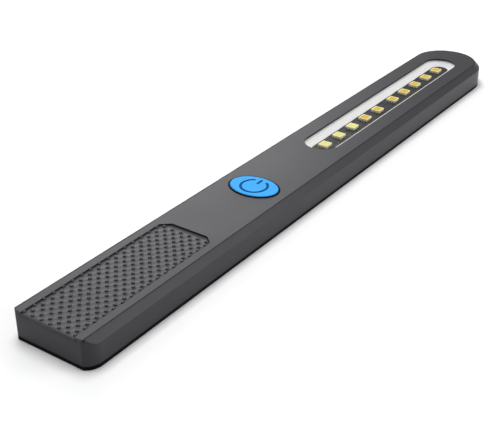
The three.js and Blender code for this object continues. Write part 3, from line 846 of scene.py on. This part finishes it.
def led(i, x):
    bm = bmesh.new()
    loops = [(0.04, 8.74, 0), (0.0, 8.78, 0), (0.0, 9.78, 0), (0.03, 9.86, 0), (0.10, 9.905, 0), (0.20, 9.92, 0),
             (0.36, 9.92, 0), (0.42, 9.90, 0), (0.50, 9.80, 0)]
    rings = []
    for d, z, m in loops:
        rings.append(verts_of(bm, at(rounded(LED_HX - d, LED_HY - d, max(0.12, 0.30 - d * 0.3), x, 0.0, 4), z)))
    for a, b in zip(rings, rings[1:]):
        bridge(bm, a, b, 0)
    bm.faces.new(rings[0]).material_index = 0
    # the phosphor fill, a shade crowned in its cup
    fill = []
    for d, z in ((0.50, 9.80), (0.62, 9.835), (0.95, 9.875), (1.4, 9.90)):
        fill.append(verts_of(bm, at(rounded(LED_HX - d, LED_HY - d, 0.34, x, 0.0, 4), z)))
    for a, b in zip(fill, fill[1:]):
        bridge(bm, a, b, 1)
    fan(bm, fill[-1], (x, 0.0, 9.91), 1)
    # lead frame ends down the sides
    for sx in (-1, 1):
        for y in (-1.35, 0.0, 1.35):
            box_into(bm, x + sx * LED_HX - 0.09, x + sx * LED_HX + 0.09, y - 0.33, y + 0.33, 8.735, 9.16, 2)
    name = "led_%02d" % (i + 1)
    return finish_mesh(bm, name + "_package", [MAT["led_body"], MAT["phosphor_pale" if i < 3 else "phosphor_warm"], MAT["pad"]],
                       name, angle=40.0)


for i, x in enumerate(LED_X):
    led(i, x)

# --------------------------------------------------------- port, fasteners, inside
refined("port_cover", MAT["black_rubber"], [(0.14, 3, everywhere)])


def usb_port():
    bm = cleaned("usb_port")
    soften(bm, [(0.06, 2, lambda a, b, e: a.y > 15.8 and b.y > 15.8)])
    for f in bm.faces:
        c = f.calc_center_median() / MM
        f.material_index = 1 if abs(c.x - PORT_X) < 3.35 and abs(c.z - PORT_Z) < 0.36 and c.y > 13.05 else 0
    for k in range(12):
        x = PORT_X - 2.75 + 0.5 * k
        for z0, z1 in ((PORT_Z + 0.34, PORT_Z + 0.375), (PORT_Z - 0.375, PORT_Z - 0.34)):
            box_into(bm, x - 0.13, x + 0.13, 13.6, 15.2, z0, z1, 2)
    return finish_mesh(bm, "usb_port_shell", [MAT["steel"], MAT["chip"], MAT["gold"]], "usb_port", angle=30.0)


usb_port()
for i in range(1, 8):
    refined("back_screw_%d" % i, MAT["screw"], [(0.10, 2, lambda a, b, e: a.z < 0.2 and b.z < 0.2)], angle=32.0)
for n in ("magnet_near", "magnet_far"):
    refined(n, MAT["magnet"], [], angle=32.0)
refined("control_board", MAT["pcb"], [(0.05, 1, everywhere)])
refined("battery_board", MAT["pcb"], [(0.05, 1, everywhere)])
for n in ("driver_chip", "charge_chip", "power_inductor"):
    refined(n, MAT["chip"], [(0.12, 2, everywhere)])
refined("switch_body", MAT["switch"], [(0.15, 2, everywhere)])
refined("switch_stem", MAT["stem"], [(0.15, 2, everywhere)])
refined("heat_spreader", MAT["aluminium"], [(0.08, 1, everywhere)])
for n, m in (("battery_lead_pos", "wire_red"), ("led_lead_pos", "wire_red"), ("battery_lead_neg", "wire_black"), ("led_lead_neg", "wire_black")):
    refined(n, MAT[m], [], angle=60.0, limit=0.1)


def battery():
    """A soft lithium pouch: swollen faces and rounded ends."""
    bm = bmesh.new()
    x0, x1, hy, z0, z1 = -140.0, -78.0, 11.6, 1.75, 8.1
    cz, hz = (z0 + z1) / 2, (z1 - z0) / 2
    n, rings = 64, []
    stations = [(0.0, 0.55), (0.25, 0.72), (0.7, 0.86), (1.4, 0.94), (3.0, 0.985), (8.0, 1.0), (20.0, 1.0), (31.0, 1.0)]
    xs = [(x0 + d, k) for d, k in stations] + [(x1 - d, k) for d, k in reversed(stations[:-1])]
    for x, k in xs:
        ring = []
        for i in range(n):
            a = 2 * math.pi * i / n
            c, s = math.cos(a), math.sin(a)
            yy = math.copysign(abs(c) ** 0.30, c) * (hy - (1 - k) * 2.2)
            zz = math.copysign(abs(s) ** 0.42, s) * hz * k
            ring.append((x, yy, cz + zz))
        rings.append(verts_of(bm, ring))
    for a, b in zip(rings, rings[1:]):
        bridge(bm, a, b)
    bm.faces.new(rings[0])
    bm.faces.new(rings[-1])
    return finish_mesh(bm, "battery_pouch_cell", [MAT["pouch"]], "battery_cell", angle=60.0)


battery()


def foam_pad():
    bm = bmesh.new()
    x0, x1, hy, z0, z1 = -136.0, -82.0, 9.0, 8.25, 9.4
    cx, hx = (x0 + x1) / 2, (x1 - x0) / 2
    rings = []
    for d, z in ((0.25, z0), (0.06, z0 + 0.12), (0.0, z0 + 0.35), (0.04, z0 + 0.7), (0.16, z1 - 0.22), (0.42, z1 - 0.09), (1.0, z1 - 0.03), (3.0, z1)):
        rings.append(verts_of(bm, at(rounded(hx - d, hy - d, 1.2, cx, 0.0, 6), z)))
    for a, b in zip(rings, rings[1:]):
        bridge(bm, a, b)
    bm.faces.new(rings[0])
    bm.faces.new(rings[-1])
    ob = finish_mesh(bm, "battery_pad_foam", [MAT["foam"]], "battery_pad", angle=60.0)
    return ob


foam_pad()

# ------------------------------------------------------- floor, light and camera
fm = bpy.data.meshes.new("floor")
S = 6.0
fm.from_pydata([(-S, -S, 0), (S, -S, 0), (S, S, 0), (-S, S, 0)], [], [(0, 1, 2, 3)])
floor = bpy.data.objects.new("floor", fm)
floor.location = (0, 0, -0.00002)
scene.collection.objects.link(floor)
mf = Mat("floor_white", 0.9, 0.0, 0.0)
mf.colour(mf.mix(mf.remap(mf.noise(120.0, 2.0), 0.0, 1.0), (0.80, 0.80, 0.80, 1.0), (0.82, 0.82, 0.82, 1.0)))
fm.materials.append(mf.m)

world = bpy.data.worlds.new("studio")
scene.world = world
world.use_nodes = True
WORLD = 0.280
world.node_tree.nodes["Background"].inputs["Color"].default_value = (0.97, 0.98, 1.0, 1.0)
world.node_tree.nodes["Background"].inputs["Strength"].default_value = WORLD


def area(name, loc, aim, sx, sy, power, colour=(1, 1, 1)):
    d = bpy.data.lights.new(name, "AREA")
    d.shape = "RECTANGLE"
    d.size, d.size_y = sx, sy
    d.energy = power
    d.color = colour
    o = bpy.data.objects.new(name, d)
    o.location = loc
    o.rotation_euler = (Vector(aim) - Vector(loc)).to_track_quat("-Z", "Y").to_euler()
    scene.collection.objects.link(o)
    return o


area("key_overhead", (-0.02, 0.16, 1.0), (-0.02, 0.0, 0.0), 0.75, 0.55, 9.80)
area("back_a", (0.45, 0.62, 0.50), (0.45, 0.0, 0.50), 0.50, 0.62, 3.20)
area("back_b", (0.85, 0.62, 0.50), (0.85, 0.0, 0.50), 0.30, 0.62, 1.92)
area("back_c", (1.13, 0.62, 0.50), (1.13, 0.0, 0.50), 0.26, 0.62, 0.54)
area("side_panel", (0.44, -0.80, 0.36), (-0.05, 0.0, 0.0), 0.60, 0.36, 4.32)

cam_data = bpy.data.cameras.new("camera")
cam_data.sensor_width = 36.0
cam_data.lens = 72.27
cam_data.clip_start = 0.01
cam = bpy.data.objects.new("camera", cam_data)
cam.location = (-0.3219, -0.1974, 0.1922)
cam.rotation_euler = (math.radians(60.909), 0.0, math.radians(-54.922))
scene.collection.objects.link(cam)
scene.camera = cam
scene.view_settings.view_transform = "Standard"
scene.view_settings.look = "None"
scene.view_settings.exposure = 0.0
scene.view_settings.gamma = 1.0
